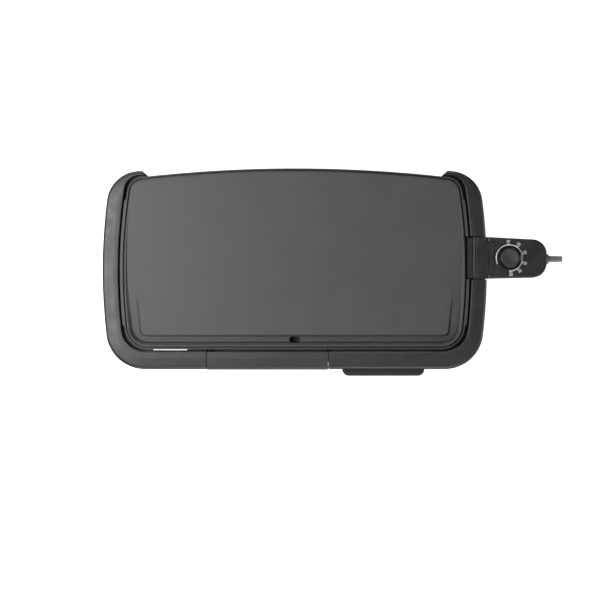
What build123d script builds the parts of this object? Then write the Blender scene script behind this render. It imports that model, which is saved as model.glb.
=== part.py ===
from build123d import *
import math
import os

# Electric griddle: a cast plate standing in an open-backed moulded base, with a drip tray and a
# warming tray that slide out of the front, and a plug-in heat probe at the right-hand end.
# Millimetres. The origin is on the table under the middle of the base: +X right, +Y back, +Z up.

os.makedirs("parts", exist_ok=True)

# ---------------------------------------------------------------- driving dimensions: base
base_half_width = 288.6
base_half_depth = 148.9
side_radius = 829.0
front_corner = 58.0
rear_corner = 50.0
base_wall = 2.6
skirt_bottom = 5.0
rim_top = 70.8
rim_fall = 1.5
rim_slope = 17.0
rim_shoulder = 5.6
rim_bevel = 1.3

rim_width = 23.5
well_front = -122.4
well_back = 142.5
well_front_corner = 38.0
well_rear_corner = 24.0
well_wall = 2.4
rear_wall = 138.6
horn_root = 218.2
horn_end = 234.3
horn_bevel = 2.6

ledge_bottom = 48.0
ledge_top = 50.5
ledge_hole_x = 500.0
ledge_hole_front = -108.0
ledge_hole_back = 128.0
ledge_gusset = 45.0
front_gap_left = -213.5
front_gap_right = 53.6
front_gap_lip = 1.5

post_radius = 7.0
front_post = (238.0, -95.0)
rear_post = (238.0, 110.0)

foot_height = 5.0
foot_radius = 9.0
boss_radius = 11.0
boss_top = 44.0
front_foot = (257.7, -123.4)
rear_foot = (259.2, 125.8)
screw_radius = 1.95
screw_hole = 2.0
head_radius = 3.9

# ---------------------------------------------------------------- driving dimensions: trays
drip_left = -132.0
drip_right = 50.0
seam = 1.0
shelf_bottom = 32.0
shelf_top = 35.0
shelf_left = -163.0
shelf_right = 72.0
shelf_front = -139.0
shelf_back = -84.0
guide_wall = 2.6
guide_top = 56.0
seam_rib_bottom = 12.0
seam_rib_depth = 3.0
seam_rib_reach = 2.0
drip_pan_top = 55.0
drip_wall = 1.8

warm_left = 53.0
warm_panel_left = 51.0
warm_right = 217.0
warm_bottom = 8.0
warm_top = 31.0
warm_back = 95.0
warm_wall = 2.0
warm_flange = 4.0
grip_left = 72.2
grip_right = 197.3
grip_front = -160.5
runner_sheet = 1.5
runner_back = 134.0

# ---------------------------------------------------------------- driving dimensions: plate
plate_side = 259.7
plate_front = -118.8
plate_back = 152.6
plate_side_radius = side_radius - (base_half_width - plate_side)
plate_back_radius = 2005.0
plate_front_corner = 35.0
plate_rear_corner = 24.0
flange_bottom = 61.0
flange_top = 68.2
lip_top = 69.0
plate_bottom = 58.0
block_inset = 6.0
tab_width = 2.4
tab_front = -83.0
tab_back = 105.0
groove_outer = 1.6
groove_inner = 4.2
groove_depth = 4.0
pan_inset = 4.6
brow_taper = 56.0
brow_depth = 2.6
wall_taper = 18.0
cook_back = 142.0
cook_slope = 0.0175
channel_start = -22.0
channel_front_z = 62.0
step_front = -99.0
step_half_front = 229.6
step_half_back = 237.0
drain = (0.0, -104.4)
drain_length = 16.5
drain_width = 9.0

element_z = 52.0
element_radius = 3.5
element_rib = 13.0
element_right = 221.0
element_left = -212.0
element_back = 86.0
element_front = -50.0
element_bend = 22.0
pin_pitch = 26.0
pin_radius = 2.4
plate_boss_left = 232.0
plate_boss_bottom = 45.0
sensor_bore_end = 237.5
rod_radius = 3.95

# ---------------------------------------------------------------- driving dimensions: probe end
probe_y = 18.0
notch_front = -14.2
notch_back = 50.9
notch_bottom = 37.5
saddle_left = 250.0
guard_left = 259.6
guard_right = 287.6
guard_half = 31.5
guard_bottom = 38.6
guard_top = 64.6
guard_wall = 2.4
insulator_hole = 4.65
rod_hole = 4.3
guard_y = 18.35
guard_screw = 24.5
lever_left = 268.4
lever_right = 288.5
lever_bottom = 66.4
lever_top = 69.6
lever_half = 31.75
tongue_half = 23.65
tongue_end = 299.7
pivot_x = 277.0
pivot_z = 63.2
lever_pin_radius = 1.2
spring_radius = 1.85
spring_wire = 0.32
spring_length = 6.6
running_gap = 0.04

housing_left = 289.2
housing_end = 378.5
housing_bottom = 40.0
housing_split = 55.0
housing_top = 69.0
housing_wall = 2.2
knob_x = 321.9
knob_foot_radius = 16.4
knob_radius = 13.6
knob_bottom = 69.6
knob_top = 81.5
shaft_radius = 3.0
boot_y = 16.8
boot_z = 54.0
boot_end = 402.8


# ---------------------------------------------------------------- outlines
def base_face(inset, height):
    """Level outline of the base, moved in from its outer edge."""
    with BuildSketch(Plane.XY.offset(height)) as outline:
        with Locations((base_half_width - side_radius, 0)):
            Circle(side_radius - inset)
        with Locations((side_radius - base_half_width, 0)):
            Circle(side_radius - inset, mode=Mode.INTERSECT)
        Rectangle(3 * base_half_width, 2 * (base_half_depth - inset), mode=Mode.INTERSECT)
        fillet(outline.vertices().group_by(Axis.Y)[0], front_corner - inset)
        fillet(outline.vertices().group_by(Axis.Y)[-1], rear_corner - inset)
    return outline.sketch


def well_face(grow, height):
    """Level outline of the well that the plate stands in."""
    well_radius = side_radius - rim_width + grow
    with BuildSketch(Plane.XY.offset(height)) as outline:
        with Locations((base_half_width - side_radius, 0)):
            Circle(well_radius)
        with Locations((side_radius - base_half_width, 0)):
            Circle(well_radius, mode=Mode.INTERSECT)
        with Locations((0, (well_front + well_back) / 2)):
            Rectangle(3 * base_half_width, well_back - well_front + 2 * grow, mode=Mode.INTERSECT)
        fillet(outline.vertices().group_by(Axis.Y)[0], well_front_corner + grow)
        fillet(outline.vertices().group_by(Axis.Y)[-1], well_rear_corner + grow)
    return outline.sketch


def plate_face(inset, height):
    """Level outline of the plate: bowed sides, a straight front and a long curve at the back."""
    with BuildSketch(Plane.XY.offset(height)) as outline:
        with Locations((plate_side - plate_side_radius, 0)):
            Circle(plate_side_radius - inset)
        with Locations((plate_side_radius - plate_side, 0)):
            Circle(plate_side_radius - inset, mode=Mode.INTERSECT)
        with Locations((0, plate_back - plate_back_radius)):
            Circle(plate_back_radius - inset, mode=Mode.INTERSECT)
        with Locations((0, plate_front + inset)):
            Rectangle(3 * plate_side, 2 * plate_back, align=(Align.CENTER, Align.MIN), mode=Mode.INTERSECT)
        fillet(outline.vertices().group_by(Axis.Y)[0], plate_front_corner - inset)
        fillet(outline.vertices().group_by(Axis.Y)[-1], plate_rear_corner - inset)
    return outline.sketch


def rim_block(inset, bottom):
    """Solid block with the base's outline, its skin moved in and down: a rounded shoulder, then a
    top that still rises a little towards the well."""
    shoulder = rim_top - rim_fall - inset
    with BuildPart() as block:
        extrude(to_extrude=base_face(inset, bottom), amount=shoulder - bottom)
        loft(sections=[base_face(inset, shoulder).face(),
                       base_face(inset + rim_slope, shoulder + rim_fall).face()], ruled=True)
        brow = block.edges().filter_by(lambda e: abs(e.center().Z - shoulder) < 0.01)
        fillet(brow, rim_shoulder - inset)
    return block.part


def slab(left, right, front, back, low, high, mode=Mode.ADD):
    """Upright box between two corners, in the part being built."""
    centre = ((left + right) / 2, (front + back) / 2, (low + high) / 2)
    with Locations(centre):
        Box(right - left, back - front, high - low, mode=mode)


def save(piece, name):
    piece.part.label = name
    export_step(piece.part, f"parts/{name}.step")


# ---------------------------------------------------------------- base frame
skin = rim_block(0, skirt_bottom)
hollow = rim_block(base_wall, ledge_bottom)
base_front = -base_half_depth
sky = 90.0
rear_edge = base_half_depth + 5

with BuildPart() as rim_hollow:
    add(hollow)
    extrude(to_extrude=well_face(well_wall, ledge_bottom - 1), amount=sky, mode=Mode.SUBTRACT)

with BuildPart() as rail_ends:
    add(skin)
    slab(-300, 300, base_front - 10, well_front, shelf_bottom, sky, mode=Mode.INTERSECT)
    slab(-300, drip_left - seam - guide_wall, -200, 0, 0, sky, mode=Mode.SUBTRACT)
    slab(drip_right + seam + guide_wall, 300, -200, 0, 0, sky, mode=Mode.SUBTRACT)

with BuildPart() as rear_ends:
    add(skin)
    slab(-horn_end, horn_end, rear_wall - base_wall, rear_edge, skirt_bottom, sky, mode=Mode.INTERSECT)

with BuildPart() as saddle:
    add(skin)
    slab(saddle_left, 300, notch_front - guide_wall, notch_back + guide_wall,
         notch_bottom - guide_wall, sky, mode=Mode.INTERSECT)

with BuildPart() as base_frame:
    add(skin)
    extrude(to_extrude=base_face(base_wall, 0), amount=ledge_bottom, mode=Mode.SUBTRACT)
    add(rim_hollow.part, mode=Mode.SUBTRACT)

    # closed ends of the rail either side of the drip tray, the back wall with the solid ends of
    # the rim's two horns, and the saddle for the probe
    add(rail_ends.part)
    add(rear_ends.part)
    add(saddle.part)

    # the back is open between the horns, where the back wall stands in from the outline
    with BuildSketch(Plane.XY):
        with BuildLine():
            Polyline(
                (-horn_root, rear_wall),
                (horn_root, rear_wall),
                (horn_end, rear_edge),
                (-horn_end, rear_edge),
                close=True,
            )
        make_face()
    extrude(amount=sky, mode=Mode.SUBTRACT)
    for side in (-1, 1):
        run = Vector(side * (horn_end - horn_root), rear_edge - rear_wall, 0).normalized()
        slope = Vector(-side * run.Y, side * run.X, 1).normalized()
        middle = (side * (horn_root + horn_end) / 2, (rear_wall + rear_edge) / 2, rim_top - horn_bevel)
        with BuildSketch(Plane(origin=middle, x_dir=run, z_dir=slope)):
            Rectangle(40, 12)
        extrude(amount=horn_bevel * 2, mode=Mode.SUBTRACT)

    # the well that the plate stands in, bevelled round its top, with a ledge round it
    extrude(to_extrude=well_face(0, ledge_top), amount=sky, mode=Mode.SUBTRACT)
    extrude(to_extrude=well_face(rim_bevel, rim_top), amount=-rim_bevel, taper=45, mode=Mode.SUBTRACT)
    with BuildSketch(Plane.XY.offset(ledge_bottom - 1)) as ledge_hole:
        with Locations((0, (ledge_hole_front + ledge_hole_back) / 2)):
            Rectangle(ledge_hole_x, ledge_hole_back - ledge_hole_front)
        chamfer(ledge_hole.vertices(), ledge_gusset)
    extrude(amount=ledge_top - ledge_bottom + 2, mode=Mode.SUBTRACT)
    slab(front_gap_left, front_gap_right, well_front + front_gap_lip, ledge_hole_front + 10,
         ledge_bottom - 1, ledge_top + 1, mode=Mode.SUBTRACT)
    slab(drip_left - seam - guide_wall, front_gap_right, well_front, ledge_hole_front + 10,
         ledge_bottom - 1, ledge_top + 1, mode=Mode.SUBTRACT)

    # posts that the plate stands on
    with Locations(Plane.XY.offset(ledge_bottom)):
        with Locations(*[(s * x, y) for x, y in (front_post, rear_post) for s in (-1, 1)]):
            Cylinder(post_radius, plate_bottom - 0.1 - ledge_bottom,
                     align=(Align.CENTER, Align.CENTER, Align.MIN))

    # foot bosses
    with Locations(Plane.XY.offset(skirt_bottom)):
        with Locations(*[(s * x, y) for x, y in (front_foot, rear_foot) for s in (-1, 1)]):
            Cylinder(boss_radius, boss_top - skirt_bottom, align=(Align.CENTER, Align.CENTER, Align.MIN))
            Cylinder(screw_hole, 16, align=(Align.CENTER, Align.CENTER, Align.MIN), mode=Mode.SUBTRACT)

    # openings for the drip tray front and the warming tray
    slab(drip_left - seam, drip_right + seam, base_front - 5, well_front + 1, 0, sky, mode=Mode.SUBTRACT)
    slab(drip_right, warm_right + seam, base_front - 5, base_front + 8, 0, shelf_bottom, mode=Mode.SUBTRACT)

    # shelf under the drip tray with its side guides, and the rib that ties the rail's two halves
    slab(shelf_left, shelf_right, shelf_front, shelf_back, shelf_bottom, shelf_top)
    slab(shelf_left, drip_left + 12, base_front + base_wall, shelf_front, shelf_bottom, shelf_top)
    slab(drip_right + seam, 252, shelf_front, well_front, shelf_bottom, shelf_top)
    for x in (drip_left - seam - guide_wall, drip_right + seam):
        slab(x, x + guide_wall, base_front + base_wall + 6, shelf_back, shelf_top, guide_top)
    # ribs under the shelf that close the seams at the two ends of the drip tray's front
    slab(drip_left - seam - guide_wall, drip_left - seam, base_front + base_wall, shelf_front,
         seam_rib_bottom, shelf_bottom)
    slab(drip_right - seam_rib_reach, drip_right + seam_rib_reach, shelf_front, shelf_front + seam_rib_depth,
         seam_rib_bottom, shelf_bottom)

    # saddle cut for the probe socket
    slab(saddle_left - 15, 300, notch_front, notch_back, notch_bottom, sky, mode=Mode.SUBTRACT)

    # screw holes: reflector into the ledge, runners into the rib and the back wall
    for y in (-60, 75):
        for x in (-256.5, 256.5):
            with Locations((x, y, ledge_bottom)):
                Cylinder(screw_hole, 8, mode=Mode.SUBTRACT)
    for x in (warm_left + 12, warm_right - 12):
        with Locations((x, -131, shelf_bottom)):
            Cylinder(screw_hole, 8, mode=Mode.SUBTRACT)
    for x in (warm_left + 12, warm_right - 12):
        with Locations(Location((x, rear_wall, 26), (90, 0, 0))):
            Cylinder(screw_hole, 12, mode=Mode.SUBTRACT)
save(base_frame, "base_frame")

# ---------------------------------------------------------------- feet
feet_at = [(s * x, y) for x, y in (front_foot, rear_foot) for s in (-1, 1)]

with BuildPart() as rubber_feet:
    with Locations(*feet_at):
        Cylinder(foot_radius, foot_height - 0.05, align=(Align.CENTER, Align.CENTER, Align.MIN))
    fillet(rubber_feet.edges().filter_by(GeomType.CIRCLE).group_by(Axis.Z)[0], 1.2)
    with Locations(*feet_at):
        Cylinder(screw_hole + 0.1, 2 * foot_height, mode=Mode.SUBTRACT)
        Cylinder(head_radius + 0.3, 5.1, mode=Mode.SUBTRACT)
save(rubber_feet, "rubber_feet")


def pan_screws(places, length):
    """Pan-head screws, each lying along its plane's normal with its head's seat at the plane."""
    with BuildPart() as screws:
        for place in places:
            with BuildSketch(place):
                Circle(screw_radius)
            extrude(amount=length)
            with BuildSketch(place):
                Circle(head_radius)
            extrude(amount=-1.9, taper=18)
    return screws


foot_screws = pan_screws([Plane((x, y, 2.5)) for x, y in feet_at], 15)
save(foot_screws, "foot_screws")

# ---------------------------------------------------------------- heat reflector
reflector_sheet = 0.8
reflector_floor = 38.0
reflector_x = 228.0
reflector_front = -76.0
reflector_back = 124.0

with BuildPart() as heat_reflector:
    with BuildSketch(Plane.XY.offset(reflector_floor)) as floor_outline:
        with Locations((0, (reflector_front + reflector_back) / 2)):
            RectangleRounded(2 * reflector_x, reflector_back - reflector_front, 12)
    extrude(amount=ledge_bottom - 0.1 - reflector_floor)
    with BuildSketch(Plane.XY.offset(reflector_floor + reflector_sheet)):
        with Locations((0, (reflector_front + reflector_back) / 2)):
            RectangleRounded(2 * (reflector_x - reflector_sheet),
                             reflector_back - reflector_front - 2 * reflector_sheet, 12 - reflector_sheet)
    extrude(amount=20, mode=Mode.SUBTRACT)
    # ears that lie under the base's ledge, two at each end
    for y in (-60, 75):
        for side in (-1, 1):
            inner = side * (reflector_x - reflector_sheet)
            outer = side * 261.0
            slab(min(inner, outer), max(inner, outer), y - 10, y + 10,
                 ledge_bottom - 0.1 - reflector_sheet, ledge_bottom - 0.1)
            with Locations((side * 256.5, y, ledge_bottom)):
                Cylinder(screw_hole, 8, mode=Mode.SUBTRACT)
    # stiffening beads pressed into the floor
    with BuildSketch(Plane.XY.offset(reflector_floor + reflector_sheet)):
        with GridLocations(105, 0, 4, 1):
            SlotOverall(150, 6, rotation=90)
    extrude(amount=0.9)
    # clearance for the plate's terminal boss
    slab(reflector_x - 10, 300, -20, 56, reflector_floor + 5, 60, mode=Mode.SUBTRACT)
save(heat_reflector, "heat_reflector")

reflector_seat = ledge_bottom - 0.1 - reflector_sheet - 0.02
reflector_screws = pan_screws([Plane((x, y, reflector_seat)) for x in (-256.5, 256.5) for y in (-60, 75)], 8)
save(reflector_screws, "reflector_screws")

# ---------------------------------------------------------------- trays
warm_middle = (warm_left + warm_right) / 2
tray_left = warm_left + 6.5
tray_right = warm_right - 6.5
flange_low = 25.0
flange_high = 26.6

with BuildPart() as warming_tray:
    tray_depth = warm_back - base_front - 3
    with BuildSketch(Plane.XY.offset(warm_bottom + 1)):
        with Locations((warm_middle, base_front + 3 + tray_depth / 2)):
            RectangleRounded(tray_right - tray_left, tray_depth, 6)
    extrude(amount=flange_high - warm_bottom - 1)
    fillet(warming_tray.edges().group_by(Axis.Z)[0], 4)
    slab(tray_left - warm_flange, tray_right + warm_flange, base_front + 8, warm_back,
         flange_low, flange_high)
    # front panel, flush with the base, with the rounded grip standing out of it
    slab(warm_panel_left, warm_right, base_front - 0.4, base_front + 4, warm_bottom, warm_top)
    fillet(warming_tray.faces().sort_by(Axis.Y)[0].edges(), 1.2)
    with BuildSketch(Plane.XY.offset(20)) as grip:
        with Locations(((grip_left + grip_right) / 2, grip_front)):
            Rectangle(grip_right - grip_left, 14, align=(Align.CENTER, Align.MIN))
        fillet(grip.vertices().group_by(Axis.Y)[0], 10)
    extrude(amount=5)
    grip_rim = warming_tray.edges().filter_by(lambda e: e.center().Y < base_front - 0.6)
    fillet(grip_rim.filter_by(lambda e: abs(e.tangent_at(0).Z) < 0.01 and abs(e.center().Z - 22.5) > 2), 1.8)
    # the pan
    with BuildSketch(Plane.XY.offset(warm_bottom + 1 + warm_wall)):
        with Locations((warm_middle, base_front + 3 + tray_depth / 2 + 0.5)):
            RectangleRounded(tray_right - tray_left - 2 * warm_wall, tray_depth - 2 * warm_wall - 1, 4)
    extrude(amount=sky, mode=Mode.SUBTRACT)
save(warming_tray, "warming_tray")


def tray_runner(side):
    """Bent steel channel that holds one flange of the warming tray; side is -1 left, +1 right."""
    web = warm_middle + side * (tray_right + warm_flange + 0.8 - warm_middle)
    lip = web - side * 4.4
    outer = web + side * runner_sheet
    runner_front = base_front + 6
    wall_face = rear_wall - base_wall
    with BuildPart() as runner:
        for low, high, inner in (
            (flange_low - 2.3, flange_high + 2.3, web),
            (flange_low - 2.3, flange_low - 0.8, lip),
            (flange_high + 0.8, flange_high + 2.3, lip),
        ):
            slab(min(inner, outer), max(inner, outer), runner_front, runner_back, low, high)
        # front tab up to the rib, back tab on the base's back wall
        tab_in = warm_middle + side * (warm_right - 12 - warm_middle) - 6
        slab(tab_in, tab_in + 12, -137, -125, shelf_bottom - 0.1 - runner_sheet, shelf_bottom - 0.1)
        slab(min(lip, outer), max(lip, outer), -137, -125, flange_high + 1, shelf_bottom - 0.1)
        slab(min(tab_in, outer), max(tab_in + 12, outer), wall_face - 0.1 - runner_sheet,
             wall_face - 0.1, 20, 32)
        slab(min(lip, outer), max(lip, outer), runner_back - 4, wall_face - 0.5,
             flange_low - 2.3, flange_high + 2.3)
        with Locations((tab_in + 6, -131, shelf_bottom)):
            Cylinder(screw_hole, 8, mode=Mode.SUBTRACT)
        with Locations(Location((tab_in + 6, rear_wall, 26), (90, 0, 0))):
            Cylinder(screw_hole, 12, mode=Mode.SUBTRACT)
    return runner


tray_runner_left = tray_runner(-1)
save(tray_runner_left, "tray_runner_left")
tray_runner_right = tray_runner(1)
save(tray_runner_right, "tray_runner_right")

runner_seat = shelf_bottom - 0.12 - runner_sheet
runner_places = [Plane((x, -131, runner_seat)) for x in (warm_left + 12, warm_right - 12)]
runner_places += [
    Plane(origin=(x, rear_wall + 0.02, 26), x_dir=(1, 0, 0), z_dir=(0, -1, 0))
    for x in (warm_left + 12, warm_right - 12)
]
runner_screws = pan_screws(runner_places, 4.5)
save(runner_screws, "runner_screws")

drip_shift = -0.7
with BuildPart() as drip_front:
    add(skin)
    add(hollow, mode=Mode.SUBTRACT)
    extrude(to_extrude=base_face(base_wall, 0), amount=ledge_bottom + 0.5, mode=Mode.SUBTRACT)
    slab(drip_left, drip_right, base_front - 5, well_front, warm_bottom, sky, mode=Mode.INTERSECT)

with BuildPart() as drip_tray:
    with Locations((0, drip_shift, 0)):
        add(drip_front.part)
    pan_front = base_front + drip_shift + 0.5
    slab(drip_left + 2, drip_right - 2, pan_front, shelf_back - 2, shelf_top + 0.3, drip_pan_top)
    fillet(drip_tray.edges().filter_by(Axis.Z).group_by(Axis.Y)[-1], 5)
    with BuildSketch(Plane.XY.offset(shelf_top + 0.3 + drip_wall)):
        with Locations(((drip_left + drip_right) / 2, pan_front + drip_wall + 1)):
            RectangleRounded(drip_right - drip_left - 4 - 2 * drip_wall,
                             shelf_back - 3 - 2 * drip_wall - pan_front, 4, align=(Align.CENTER, Align.MIN))
    extrude(amount=drip_pan_top - shelf_top - 0.3 - drip_wall, mode=Mode.SUBTRACT)
save(drip_tray, "drip_tray")

# ---------------------------------------------------------------- griddle plate
channel_start_z = lip_top - (cook_back - channel_start) * cook_slope
channel_slope = (channel_start_z - channel_front_z) / (channel_start - step_front)
channel_end = step_front - 25

with BuildPart() as cook_cut:
    # hollow above the sloping cooking surface: a shallow slope round its top, then a steep wall
    brow_width = brow_depth * math.tan(math.radians(brow_taper))
    extrude(to_extrude=plate_face(pan_inset, lip_top + 0.01), amount=-brow_depth, taper=brow_taper)
    extrude(to_extrude=plate_face(pan_inset + brow_width + 0.3, lip_top - brow_depth + 0.1), amount=-6,
            taper=wall_taper)
    with BuildSketch(Plane.YZ.offset(-300)):
        with BuildLine():
            Polyline(
                (cook_back, lip_top),
                (channel_start, channel_start_z),
                (channel_end, channel_start_z - channel_slope * (channel_start - channel_end)),
                (channel_end, 40),
                (160, 40),
                (160, lip_top + 0.4),
                close=True,
            )
        make_face()
    extrude(amount=600, mode=Mode.SUBTRACT)

with BuildPart() as cook_island:
    # the cooking surface itself, standing above the drain channel that runs round its front half
    with BuildSketch(Plane.XY.offset(plate_bottom + 1)) as island:
        with BuildLine():
            Polyline((-step_half_back, channel_start), (-step_half_front, step_front),
                     (step_half_front, step_front), (step_half_back, channel_start), close=True)
        make_face()
        fillet(island.vertices().group_by(Axis.Y)[0], 9)
    extrude(amount=25)
    with BuildSketch(Plane.YZ.offset(-300)):
        with BuildLine():
            Polyline(
                (cook_back, lip_top),
                (-cook_back, lip_top - 2 * cook_back * cook_slope),
                (-cook_back, sky),
                (cook_back, sky),
                close=True,
            )
        make_face()
    extrude(amount=600, mode=Mode.SUBTRACT)

with BuildLine(Plane.XY.offset(element_z)) as element_path:
    FilletPolyline(
        (guard_left - 0.1, probe_y + pin_pitch / 2),
        (element_right, probe_y + pin_pitch / 2),
        (element_right, element_back),
        (element_left, element_back),
        (element_left, element_front),
        (element_right, element_front),
        (element_right, probe_y - pin_pitch / 2),
        (guard_left - 0.1, probe_y - pin_pitch / 2),
        radius=element_bend,
    )
# section plane at the element's start: its local y points down
element_start = Plane(origin=element_path.line @ 0, x_dir=(0, 1, 0), z_dir=element_path.line % 0)


def element_tube(radius):
    with BuildPart() as tube:
        with BuildSketch(element_start):
            Circle(radius)
        sweep(path=element_path.line)
    return tube.part


with BuildPart() as crease:
    extrude(to_extrude=plate_face(groove_outer, flange_top - groove_depth), amount=10)
    extrude(to_extrude=plate_face(groove_inner, flange_top - groove_depth), amount=10, mode=Mode.SUBTRACT)

with BuildPart() as griddle_plate:
    extrude(to_extrude=plate_face(block_inset, plate_bottom), amount=lip_top - plate_bottom)
    extrude(to_extrude=plate_face(0, flange_bottom), amount=flange_top - flange_bottom)
    # side flanges stand out as tabs beside the well
    with BuildSketch(Plane.XY.offset(flange_bottom)) as tabs:
        add(plate_face(-tab_width, flange_bottom).moved(Location((0, 0, -flange_bottom))))
        with Locations((0, (tab_front + tab_back) / 2)):
            Rectangle(3 * plate_side, tab_back - tab_front, mode=Mode.INTERSECT)
        Rectangle(2 * plate_side - 60, 3 * plate_back, mode=Mode.SUBTRACT)
    extrude(amount=flange_top - flange_bottom)
    # the flange is cut away beside the probe socket
    slab(plate_side - 3.6, 300, guard_y - lever_half - 0.5, guard_y + lever_half + 0.5, 0, sky,
         mode=Mode.SUBTRACT)
    fillet(griddle_plate.edges().group_by(Axis.Z)[0], 1.5)
    add(cook_cut.part, mode=Mode.SUBTRACT)
    add(cook_island.part)
    # crease between the flange and the lip
    add(crease.part, mode=Mode.SUBTRACT)
    # rib that holds the heating element, and the boss that its ends come out of
    with BuildSketch(element_start):
        with Locations((0, (element_z - plate_bottom + 1.5) / 2)):
            Rectangle(element_rib, plate_bottom - element_z + 1.9)
    sweep(path=element_path.line)
    slab(plate_boss_left, guard_left - 0.1, guard_y - guard_half + 0.8, guard_y + guard_half - 0.8,
         plate_boss_bottom, plate_bottom + 0.2)
    add(element_tube(element_radius + 0.05), mode=Mode.SUBTRACT)
    with BuildSketch(Plane.YZ.offset(sensor_bore_end)):
        with Locations((probe_y, element_z)):
            Circle(rod_radius + 0.1)
    extrude(amount=30, mode=Mode.SUBTRACT)
    with BuildSketch(Plane.YZ.offset(guard_left - 12)):
        with Locations((guard_y - guard_screw, element_z), (guard_y + guard_screw, element_z)):
            Circle(screw_hole)
    extrude(amount=20, mode=Mode.SUBTRACT)
    # oval drain hole in the middle of the front channel
    with BuildSketch(Plane.XY.offset(plate_bottom - 5)):
        with Locations(drain):
            SlotOverall(drain_length, drain_width)
    extrude(amount=20, mode=Mode.SUBTRACT)
save(griddle_plate, "griddle_plate")

# ---------------------------------------------------------------- heating element and probe socket
element_end = guard_left - 0.1
with BuildPart() as heating_element:
    add(element_tube(element_radius))
save(heating_element, "heating_element")

pin_ys = [probe_y - pin_pitch / 2, probe_y + pin_pitch / 2]

with BuildPart() as terminal_pins:
    for y in pin_ys:
        with BuildSketch(Plane.YZ.offset(element_end + 0.02)):
            with Locations((y, element_z)):
                Circle(pin_radius)
        extrude(amount=24)
    fillet(terminal_pins.edges().filter_by(GeomType.CIRCLE).group_by(Axis.X)[-1], 1.6)
save(terminal_pins, "terminal_pins")

with BuildPart() as ceramic_insulators:
    for y in pin_ys:
        with BuildSketch(Plane.YZ.offset(guard_left + 0.02)):
            with Locations((y, element_z)):
                Circle(4.6)
                Circle(pin_radius + 0.05, mode=Mode.SUBTRACT)
        extrude(amount=guard_wall + 0.6)
        with BuildSketch(Plane.YZ.offset(guard_left + guard_wall + 0.6)):
            with Locations((y, element_z)):
                Circle(5.6)
                Circle(pin_radius + 0.05, mode=Mode.SUBTRACT)
        extrude(amount=1.6)
save(ceramic_insulators, "ceramic_insulators")

bar_left = pivot_x - 4.2
bar_right = pivot_x + 4.2
bar_bottom = 60.8
lug_half = 26.3
lug_wide = 2.6

with BuildPart() as terminal_guard:
    slab(guard_left, guard_right, guard_y - guard_half, guard_y + guard_half, guard_bottom, guard_top)
    fillet(terminal_guard.edges().filter_by(Axis.X), 2)
    slab(guard_left + guard_wall, guard_right + 1,
         guard_y - guard_half + guard_wall, guard_y + guard_half - guard_wall,
         guard_bottom + guard_wall, guard_top - guard_wall, mode=Mode.SUBTRACT)
    # bar under the top that carries the lever's pin, slotted for the lever's two lugs and its spring
    slab(bar_left, bar_right, guard_y - guard_half + 1, guard_y + guard_half - 1, bar_bottom, guard_top + 0.6)
    for y in (guard_y - lug_half, guard_y + lug_half):
        slab(bar_left + 0.6, bar_right - 0.6, y - lug_wide / 2 - 0.3, y + lug_wide / 2 + 0.3,
             60, 70, mode=Mode.SUBTRACT)
    slab(bar_left + 1.2, bar_right - 1.2, guard_y - 6, guard_y + 6, 60, 70, mode=Mode.SUBTRACT)
    with BuildSketch(Plane.XZ.offset(-guard_y - guard_half - 1)):
        with Locations((pivot_x, pivot_z)):
            Circle(lever_pin_radius + 0.02)
    extrude(amount=2 * guard_half + 2, mode=Mode.SUBTRACT)
    # back wall: holes for the insulators, the sensing rod and the fixing screws
    with BuildSketch(Plane.YZ.offset(guard_left - 1)):
        with Locations(*[(y, element_z) for y in pin_ys]):
            Circle(insulator_hole)
        with Locations((probe_y, element_z)):
            Circle(rod_hole)
        with Locations((guard_y - guard_screw, element_z), (guard_y + guard_screw, element_z)):
            Circle(screw_hole)
    extrude(amount=guard_wall + 2, mode=Mode.SUBTRACT)
save(terminal_guard, "terminal_guard")

guard_seat = guard_left + guard_wall + 0.02
guard_screw_ys = (guard_y - guard_screw, guard_y + guard_screw)
guard_screws = pan_screws(
    [Plane(origin=(guard_seat, y, element_z), x_dir=(0, 1, 0), z_dir=(-1, 0, 0)) for y in guard_screw_ys],
    9,
)
save(guard_screws, "guard_screws")

with BuildPart() as release_lever:
    # bracket across the socket with its tongue reaching over the probe
    with BuildSketch(Plane.XY.offset(lever_bottom)) as lever_plan:
        with BuildLine():
            Polyline(
                (lever_left, guard_y - lever_half),
                (lever_right, guard_y - lever_half),
                (lever_right, probe_y - tongue_half),
                (tongue_end, probe_y - tongue_half),
                (tongue_end, probe_y + tongue_half),
                (lever_right, probe_y + tongue_half),
                (lever_right, guard_y + lever_half),
                (lever_left, guard_y + lever_half),
                close=True,
            )
        make_face()
        fillet(lever_plan.vertices().group_by(Axis.X)[0], 1.5)
        fillet(lever_plan.vertices().group_by(Axis.X)[-1], 1.5)
    extrude(amount=lever_top - lever_bottom)
    fillet(release_lever.edges().group_by(Axis.Z)[-1], 0.8)
    # two finger ridges along the inner edge
    for x in (lever_left + 0.9, lever_left + 4.6):
        slab(x, x + 1.3, guard_y - lever_half + 0.9, guard_y + lever_half - 0.9,
             lever_top - 0.5, lever_top + 0.7)
    # tongue is thinned from above so that it lies below the probe's top
    slab(lever_right + 1.5, tongue_end + 2, probe_y - tongue_half - 1, probe_y + tongue_half + 1,
         lever_top - 0.9, sky, mode=Mode.SUBTRACT)
    for y in (guard_y - lug_half, guard_y + lug_half):
        with BuildSketch(Plane.XZ.offset(-y - lug_wide / 2)):
            with Locations((pivot_x, pivot_z)):
                Circle(2.3)
            with Locations((pivot_x, (pivot_z + lever_bottom) / 2 + 0.2)):
                Rectangle(4.6, lever_bottom - pivot_z + 0.4)
            with Locations((pivot_x, pivot_z)):
                Circle(lever_pin_radius + running_gap, mode=Mode.SUBTRACT)
        extrude(amount=lug_wide)
save(release_lever, "release_lever")

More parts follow.
